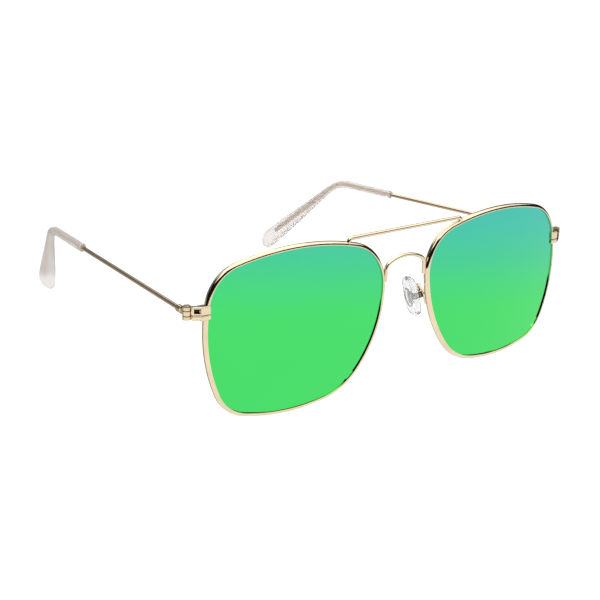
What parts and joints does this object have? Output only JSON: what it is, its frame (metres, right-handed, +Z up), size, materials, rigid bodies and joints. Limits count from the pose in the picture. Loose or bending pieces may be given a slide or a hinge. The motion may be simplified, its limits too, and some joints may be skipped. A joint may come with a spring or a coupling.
{
  "type": "aviator sunglasses",
  "caption": "Metal aviator sunglasses with squared mirrored lenses, a straight top bar over an arched bridge, screwed nose pads and folding wire temples with clear tips.",
  "frame": {"origin": "on the surface that the open glasses stand on, at the middle of their width and depth", "axes": "+X towards the wearer's left, +Y back towards the ears, +Z up"},
  "size_m": [0.1428, 0.1418, 0.0486],
  "materials": {
    "gold_metal": "pale gold plating, polished",
    "temple_metal": "gold plated wire, polished",
    "hinge_metal": "gold plating, satin",
    "screw_metal": "turned, slotted heads",
    "mirrored_lens": "green mirror coating, teal at the top",
    "clear_plastic": "clear, smooth",
    "pad_silicone": "clear, soft"
  },
  "bodies": {
    "front": {"top_bar": "gold_metal", "lower_bridge": "gold_metal", "rim_left": "gold_metal", "rim_right": "gold_metal", "lens_left": "mirrored_lens", "lens_right": "mirrored_lens", "end_piece_left": "gold_metal", "end_piece_right": "gold_metal", "closing_block_left": "gold_metal", "closing_block_right": "gold_metal", "closing_screw_left": "screw_metal", "closing_screw_right": "screw_metal", "hinge_front_left": "hinge_metal", "hinge_front_right": "hinge_metal", "hinge_screw_left": "screw_metal", "hinge_screw_right": "screw_metal", "pad_arm_left": "gold_metal", "pad_arm_right": "gold_metal", "pad_box_left": "hinge_metal", "pad_box_right": "hinge_metal", "pad_screw_left": "screw_metal", "pad_screw_right": "screw_metal"},
    "left_pad": {"nose_pad_left": "pad_silicone", "pad_core_left": "hinge_metal"},
    "left_temple": {"hinge_temple_left": "hinge_metal", "temple_left": "temple_metal", "temple_tip_left": "clear_plastic"},
    "right_pad": {"nose_pad_right": "pad_silicone", "pad_core_right": "hinge_metal"},
    "right_temple": {"hinge_temple_right": "hinge_metal", "temple_right": "temple_metal", "temple_tip_right": "clear_plastic"}
  },
  "joints": [
    {"name": "temple_fold_left", "type": "hinge", "parent": "front", "child": "left_temple", "pos_m": [0.07016, -0.06359, 0.0338], "axis": [0, 0, 1], "range_deg": [0, 79]},
    {"name": "temple_fold_right", "type": "hinge", "parent": "front", "child": "right_temple", "pos_m": [-0.07016, -0.06359, 0.0338], "axis": [0, 0, -1], "range_deg": [0, 70]},
    {"name": "pad_rock_left", "type": "hinge", "parent": "front", "child": "left_pad", "pos_m": [0.01009, -0.06476, 0.02453], "axis": [0.2079, 0.9781, 0], "range_deg": [-8, 8]},
    {"name": "pad_rock_right", "type": "hinge", "parent": "front", "child": "right_pad", "pos_m": [-0.01009, -0.06476, 0.02453], "axis": [-0.2079, 0.9781, 0], "range_deg": [-8, 8]}
  ]
}
